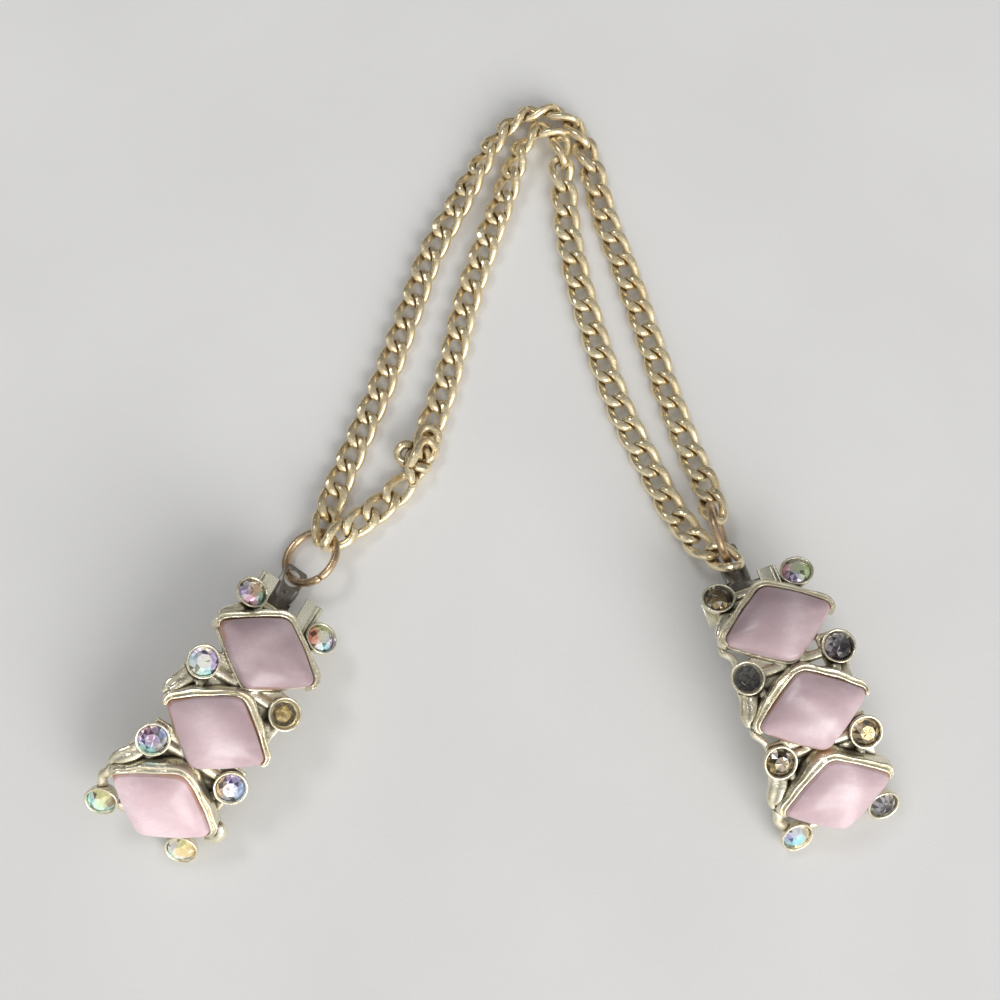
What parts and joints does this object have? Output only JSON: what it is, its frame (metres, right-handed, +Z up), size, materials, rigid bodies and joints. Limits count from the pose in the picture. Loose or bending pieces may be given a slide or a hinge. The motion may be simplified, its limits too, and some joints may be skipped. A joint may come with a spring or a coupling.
{
  "type": "sweater clip",
  "caption": "Costume sweater clip: two arched stone-set ornaments on sprung steel clips, joined by a double strand of curb chain, lying as an upturned V.",
  "frame": {"origin": "middle of the bounding box, on the surface the clip lies on", "axes": "+X to the right as pictured, +Y from the ornaments to the top of the chain, +Z up from the surface"},
  "size_m": [0.1108, 0.1178, 0.0163],
  "materials": {
    "cast_metal": "gold-plated zinc casting, worn, dark in the recesses",
    "pearl_stone": "pearly pink cabochon, soft gloss",
    "rhinestone": "foiled glass with an iridescent coat, partly dulled",
    "dark_steel": "tarnished spring steel",
    "ring_brass": "antique brass, satin",
    "chain_gold": "gold-plated, bright on the high spots"
  },
  "bodies": {
    "levers_and_chain": {"left_lever": "dark_steel", "left_spring": "dark_steel", "left_jump_ring": "ring_brass", "right_lever": "dark_steel", "right_spring": "dark_steel", "right_jump_ring": "ring_brass", "outer_chain_left": "chain_gold", "outer_chain_right": "chain_gold", "inner_chain_left": "chain_gold", "inner_chain_right": "chain_gold"},
    "left_ornament": {"left_setting": "cast_metal", "left_stone_1": "pearl_stone", "left_stone_2": "pearl_stone", "left_stone_3": "pearl_stone", "left_rhinestone_1": "rhinestone", "left_rhinestone_2": "rhinestone", "left_rhinestone_3": "rhinestone", "left_rhinestone_5": "rhinestone", "left_rhinestone_6": "rhinestone", "left_rhinestone_7": "rhinestone", "left_rhinestone_8": "rhinestone", "left_hinge_pin": "dark_steel"},
    "right_ornament": {"right_setting": "cast_metal", "right_stone_1": "pearl_stone", "right_stone_2": "pearl_stone", "right_stone_3": "pearl_stone", "right_rhinestone_1": "rhinestone", "right_rhinestone_2": "rhinestone", "right_rhinestone_4": "rhinestone", "right_rhinestone_5": "rhinestone", "right_rhinestone_6": "rhinestone", "right_rhinestone_7": "rhinestone", "right_rhinestone_8": "rhinestone", "right_hinge_pin": "dark_steel"}
  },
  "joints": [
    {"name": "left_hinge", "type": "hinge", "parent": "levers_and_chain", "child": "left_ornament", "pos_m": [-0.03166, -0.02592, 0.00583], "axis": [-0.7822, 0.4808, 0.3962], "range_deg": [0, 28], "stiffness_Nm_per_rad": 0.03, "springref_deg": -22.92},
    {"name": "right_hinge", "type": "hinge", "parent": "levers_and_chain", "child": "right_ornament", "pos_m": [0.03535, -0.02317, 0.00624], "axis": [-0.9432, -0.3322, 0], "range_deg": [0, 28], "stiffness_Nm_per_rad": 0.03, "springref_deg": -22.92}
  ]
}
